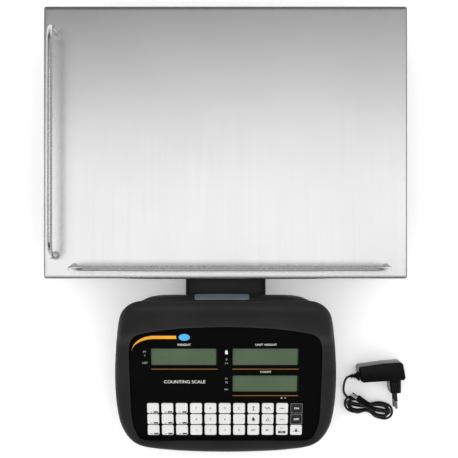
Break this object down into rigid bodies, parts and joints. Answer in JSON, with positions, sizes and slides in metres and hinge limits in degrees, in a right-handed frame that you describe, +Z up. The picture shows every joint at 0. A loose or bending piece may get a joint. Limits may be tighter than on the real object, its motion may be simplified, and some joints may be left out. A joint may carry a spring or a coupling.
{
  "type": "counting scale",
  "caption": "Bench counting scale: steel platter with guard rails on a load cell, a tilting indicator with displays and keypad, and a plug-in power adapter.",
  "frame": {"origin": "on the table, under the middle of the outline of the scale without its adapter and cord", "axes": "+X to the right of the person at the keypad, +Y away from that person towards the platter, +Z up"},
  "size_m": [0.4073, 0.5019, 0.1633],
  "materials": {
    "stainless_sheet": "brushed, bright",
    "rail_rod": "polished stainless rod",
    "cast_aluminium": "as cast, fine grain",
    "cell_aluminium": "machined",
    "black_paint": "satin powder coat",
    "shell_black": "fine moulded grain",
    "panel_film": "smooth satin film",
    "lcd_green": "smooth, unlit",
    "circuit_board": "solder mask",
    "battery_wrap": "shrink wrap",
    "socket_black": "moulded",
    "lens_grey": "frosted",
    "key_white": "smooth moulded",
    "key_black": "smooth moulded",
    "foot_rubber": "matt",
    "adapter_black": "fine moulded grain",
    "cord_black": "soft sheath"
  },
  "bodies": {
    "base": {"base_frame": "cast_aluminium", "load_cell": "cell_aluminium", "mounting_bracket": "black_paint"},
    "carrier": {"platter_carrier": "cast_aluminium"},
    "platter": {"platter": "stainless_sheet", "side_rail": "rail_rod", "front_rail": "rail_rod"},
    "indicator": {"front_shell": "shell_black", "rear_shell": "shell_black", "keypad_overlay": "panel_film", "lcd_weight": "lcd_green", "lcd_unit_weight": "lcd_green", "lcd_count": "lcd_green", "main_board": "circuit_board", "battery": "battery_wrap", "dc_jack": "socket_black", "status_light_lens": "lens_grey"},
    "tilt_knob": {"tilt_knob": "black_paint"},
    "adapter": {"adapter_housing": "adapter_black", "adapter_plug": "adapter_black", "adapter_cord": "cord_black", "cord_hank": "cord_black", "dc_plug": "adapter_black"},
    "foot_1": {"foot_1": "foot_rubber"},
    "foot_2": {"foot_2": "foot_rubber"},
    "foot_3": {"foot_3": "foot_rubber"},
    "foot_4": {"foot_4": "foot_rubber"},
    "key_r1_c1": {"key_r1_c1": "key_white"},
    "key_r1_c2": {"key_r1_c2": "key_white"},
    "key_r1_c3": {"key_r1_c3": "key_white"},
    "key_r1_c4": {"key_r1_c4": "key_white"},
    "key_r1_c5": {"key_r1_c5": "key_white"},
    "key_r1_c6": {"key_r1_c6": "key_white"},
    "key_r1_c7": {"key_r1_c7": "key_white"},
    "key_r1_c8": {"key_r1_c8": "key_white"},
    "key_r1_c9": {"key_r1_c9": "key_white"},
    "key_r1_c10": {"key_r1_c10": "key_white"},
    "key_r1_c11": {"key_r1_c11": "key_black"},
    "key_r2_c1": {"key_r2_c1": "key_white"},
    "key_r2_c2": {"key_r2_c2": "key_white"},
    "key_r2_c3": {"key_r2_c3": "key_white"},
    "key_r2_c4": {"key_r2_c4": "key_white"},
    "key_r2_c5": {"key_r2_c5": "key_white"},
    "key_r2_c6": {"key_r2_c6": "key_white"},
    "key_r2_c7": {"key_r2_c7": "key_white"},
    "key_r2_c8": {"key_r2_c8": "key_white"},
    "key_r2_c9": {"key_r2_c9": "key_white"},
    "key_r2_c10": {"key_r2_c10": "key_white"},
    "key_r2_c11": {"key_r2_c11": "key_black"},
    "key_r3_c1": {"key_r3_c1": "key_white"},
    "key_r3_c2": {"key_r3_c2": "key_white"},
    "key_r3_c3": {"key_r3_c3": "key_white"},
    "key_r3_c4": {"key_r3_c4": "key_white"},
    "key_r3_c5": {"key_r3_c5": "key_white"},
    "key_r3_c6": {"key_r3_c6": "key_white"},
    "key_r3_c7": {"key_r3_c7": "key_white"},
    "key_r3_c8": {"key_r3_c8": "key_white"},
    "key_r3_c9": {"key_r3_c9": "key_white"},
    "key_r3_c10": {"key_r3_c10": "key_white"},
    "key_r3_c11": {"key_r3_c11": "key_white"}
  },
  "joints": [
    {"name": "load_deflection", "type": "slide", "parent": "base", "child": "carrier", "axis": [0, 0, -1], "range_m": [0, 0.0005], "stiffness_N_per_m": 300000, "springref_m": -0.00012, "deforming": ["load_cell"]},
    {"name": "platter_lift", "type": "slide", "parent": "carrier", "child": "platter", "axis": [0, 0, 1], "range_m": [0, 0.06]},
    {"name": "indicator_tilt", "type": "hinge", "parent": "base", "child": "indicator", "pos_m": [0, -0.12243, 0.04764], "axis": [1, 0, 0], "range_deg": [-10, 6]},
    {"name": "tilt_knob_turn", "type": "hinge", "parent": "base", "child": "tilt_knob", "pos_m": [0, -0.12243, 0.04764], "axis": [1, 0, 0], "continuous": true},
    {"name": "adapter_lift", "type": "slide", "parent": "base", "child": "adapter", "axis": [0, 0, 1], "range_m": [0, 0.3]},
    {"name": "foot_level_1", "type": "slide", "parent": "base", "child": "foot_1", "axis": [0, 0, -1], "range_m": [-0.004, 0.01]},
    {"name": "foot_level_2", "type": "slide", "parent": "base", "child": "foot_2", "axis": [0, 0, -1], "range_m": [-0.004, 0.01]},
    {"name": "foot_level_3", "type": "slide", "parent": "base", "child": "foot_3", "axis": [0, 0, -1], "range_m": [-0.004, 0.01]},
    {"name": "foot_level_4", "type": "slide", "parent": "base", "child": "foot_4", "axis": [0, 0, -1], "range_m": [-0.004, 0.01]},
    {"name": "press_r1_c1", "type": "slide", "parent": "indicator", "child": "key_r1_c1", "axis": [0, 0.4067, -0.9135], "range_m": [0, 0.0005], "stiffness_N_per_m": 2000, "springref_m": -0.0002},
    {"name": "press_r1_c2", "type": "slide", "parent": "indicator", "child": "key_r1_c2", "axis": [0, 0.4067, -0.9135], "range_m": [0, 0.0005], "stiffness_N_per_m": 2000, "springref_m": -0.0002},
    {"name": "press_r1_c3", "type": "slide", "parent": "indicator", "child": "key_r1_c3", "axis": [0, 0.4067, -0.9135], "range_m": [0, 0.0005], "stiffness_N_per_m": 2000, "springref_m": -0.0002},
    {"name": "press_r1_c4", "type": "slide", "parent": "indicator", "child": "key_r1_c4", "axis": [0, 0.4067, -0.9135], "range_m": [0, 0.0005], "stiffness_N_per_m": 2000, "springref_m": -0.0002},
    {"name": "press_r1_c5", "type": "slide", "parent": "indicator", "child": "key_r1_c5", "axis": [0, 0.4067, -0.9135], "range_m": [0, 0.0005], "stiffness_N_per_m": 2000, "springref_m": -0.0002},
    {"name": "press_r1_c6", "type": "slide", "parent": "indicator", "child": "key_r1_c6", "axis": [0, 0.4067, -0.9135], "range_m": [0, 0.0005], "stiffness_N_per_m": 2000, "springref_m": -0.0002},
    {"name": "press_r1_c7", "type": "slide", "parent": "indicator", "child": "key_r1_c7", "axis": [0, 0.4067, -0.9135], "range_m": [0, 0.0005], "stiffness_N_per_m": 2000, "springref_m": -0.0002},
    {"name": "press_r1_c8", "type": "slide", "parent": "indicator", "child": "key_r1_c8", "axis": [0, 0.4067, -0.9135], "range_m": [0, 0.0005], "stiffness_N_per_m": 2000, "springref_m": -0.0002},
    {"name": "press_r1_c9", "type": "slide", "parent": "indicator", "child": "key_r1_c9", "axis": [0, 0.4067, -0.9135], "range_m": [0, 0.0005], "stiffness_N_per_m": 2000, "springref_m": -0.0002},
    {"name": "press_r1_c10", "type": "slide", "parent": "indicator", "child": "key_r1_c10", "axis": [0, 0.4067, -0.9135], "range_m": [0, 0.0005], "stiffness_N_per_m": 2000, "springref_m": -0.0002},
    {"name": "press_r1_c11", "type": "slide", "parent": "indicator", "child": "key_r1_c11", "axis": [0, 0.4067, -0.9135], "range_m": [0, 0.0005], "stiffness_N_per_m": 2000, "springref_m": -0.0002},
    {"name": "press_r2_c1", "type": "slide", "parent": "indicator", "child": "key_r2_c1", "axis": [0, 0.4067, -0.9135], "range_m": [0, 0.0005], "stiffness_N_per_m": 2000, "springref_m": -0.0002},
    {"name": "press_r2_c2", "type": "slide", "parent": "indicator", "child": "key_r2_c2", "axis": [0, 0.4067, -0.9135], "range_m": [0, 0.0005], "stiffness_N_per_m": 2000, "springref_m": -0.0002},
    {"name": "press_r2_c3", "type": "slide", "parent": "indicator", "child": "key_r2_c3", "axis": [0, 0.4067, -0.9135], "range_m": [0, 0.0005], "stiffness_N_per_m": 2000, "springref_m": -0.0002},
    {"name": "press_r2_c4", "type": "slide", "parent": "indicator", "child": "key_r2_c4", "axis": [0, 0.4067, -0.9135], "range_m": [0, 0.0005], "stiffness_N_per_m": 2000, "springref_m": -0.0002},
    {"name": "press_r2_c5", "type": "slide", "parent": "indicator", "child": "key_r2_c5", "axis": [0, 0.4067, -0.9135], "range_m": [0, 0.0005], "stiffness_N_per_m": 2000, "springref_m": -0.0002},
    {"name": "press_r2_c6", "type": "slide", "parent": "indicator", "child": "key_r2_c6", "axis": [0, 0.4067, -0.9135], "range_m": [0, 0.0005], "stiffness_N_per_m": 2000, "springref_m": -0.0002},
    {"name": "press_r2_c7", "type": "slide", "parent": "indicator", "child": "key_r2_c7", "axis": [0, 0.4067, -0.9135], "range_m": [0, 0.0005], "stiffness_N_per_m": 2000, "springref_m": -0.0002},
    {"name": "press_r2_c8", "type": "slide", "parent": "indicator", "child": "key_r2_c8", "axis": [0, 0.4067, -0.9135], "range_m": [0, 0.0005], "stiffness_N_per_m": 2000, "springref_m": -0.0002},
    {"name": "press_r2_c9", "type": "slide", "parent": "indicator", "child": "key_r2_c9", "axis": [0, 0.4067, -0.9135], "range_m": [0, 0.0005], "stiffness_N_per_m": 2000, "springref_m": -0.0002},
    {"name": "press_r2_c10", "type": "slide", "parent": "indicator", "child": "key_r2_c10", "axis": [0, 0.4067, -0.9135], "range_m": [0, 0.0005], "stiffness_N_per_m": 2000, "springref_m": -0.0002},
    {"name": "press_r2_c11", "type": "slide", "parent": "indicator", "child": "key_r2_c11", "axis": [0, 0.4067, -0.9135], "range_m": [0, 0.0005], "stiffness_N_per_m": 2000, "springref_m": -0.0002},
    {"name": "press_r3_c1", "type": "slide", "parent": "indicator", "child": "key_r3_c1", "axis": [0, 0.4067, -0.9135], "range_m": [0, 0.0005], "stiffness_N_per_m": 2000, "springref_m": -0.0002},
    {"name": "press_r3_c2", "type": "slide", "parent": "indicator", "child": "key_r3_c2", "axis": [0, 0.4067, -0.9135], "range_m": [0, 0.0005], "stiffness_N_per_m": 2000, "springref_m": -0.0002},
    {"name": "press_r3_c3", "type": "slide", "parent": "indicator", "child": "key_r3_c3", "axis": [0, 0.4067, -0.9135], "range_m": [0, 0.0005], "stiffness_N_per_m": 2000, "springref_m": -0.0002},
    {"name": "press_r3_c4", "type": "slide", "parent": "indicator", "child": "key_r3_c4", "axis": [0, 0.4067, -0.9135], "range_m": [0, 0.0005], "stiffness_N_per_m": 2000, "springref_m": -0.0002},
    {"name": "press_r3_c5", "type": "slide", "parent": "indicator", "child": "key_r3_c5", "axis": [0, 0.4067, -0.9135], "range_m": [0, 0.0005], "stiffness_N_per_m": 2000, "springref_m": -0.0002},
    {"name": "press_r3_c6", "type": "slide", "parent": "indicator", "child": "key_r3_c6", "axis": [0, 0.4067, -0.9135], "range_m": [0, 0.0005], "stiffness_N_per_m": 2000, "springref_m": -0.0002},
    {"name": "press_r3_c7", "type": "slide", "parent": "indicator", "child": "key_r3_c7", "axis": [0, 0.4067, -0.9135], "range_m": [0, 0.0005], "stiffness_N_per_m": 2000, "springref_m": -0.0002},
    {"name": "press_r3_c8", "type": "slide", "parent": "indicator", "child": "key_r3_c8", "axis": [0, 0.4067, -0.9135], "range_m": [0, 0.0005], "stiffness_N_per_m": 2000, "springref_m": -0.0002},
    {"name": "press_r3_c9", "type": "slide", "parent": "indicator", "child": "key_r3_c9", "axis": [0, 0.4067, -0.9135], "range_m": [0, 0.0005], "stiffness_N_per_m": 2000, "springref_m": -0.0002},
    {"name": "press_r3_c10", "type": "slide", "parent": "indicator", "child": "key_r3_c10", "axis": [0, 0.4067, -0.9135], "range_m": [0, 0.0005], "stiffness_N_per_m": 2000, "springref_m": -0.0002},
    {"name": "press_r3_c11", "type": "slide", "parent": "indicator", "child": "key_r3_c11", "axis": [0, 0.4067, -0.9135], "range_m": [0, 0.0005], "stiffness_N_per_m": 2000, "springref_m": -0.0002}
  ]
}
